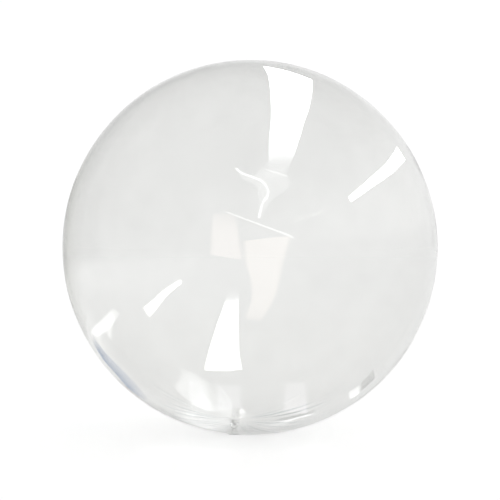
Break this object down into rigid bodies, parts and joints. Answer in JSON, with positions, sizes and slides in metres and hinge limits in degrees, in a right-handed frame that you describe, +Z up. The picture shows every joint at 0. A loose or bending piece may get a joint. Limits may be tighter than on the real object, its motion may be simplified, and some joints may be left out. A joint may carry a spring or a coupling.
{
  "type": "clear bubble balloon",
  "caption": "Round see-through bubble balloon of seamless film, gathered in fine pleats at the neck and tied in a small knot with a short ruffled tail.",
  "frame": {"origin": "centre of the small flat patch on which the balloon rests, at the bottom centre of its box", "axes": "+Z up; the tied neck leans 32 degrees from straight down towards -Y; +X is to the right when facing the neck from the front"},
  "size_m": [0.45, 0.4496, 0.4485],
  "materials": {
    "clear_film": "glossy clear film, faintly grey"
  },
  "bodies": {
    "root": {"balloon": "clear_film"}
  },
  "joints": []
}
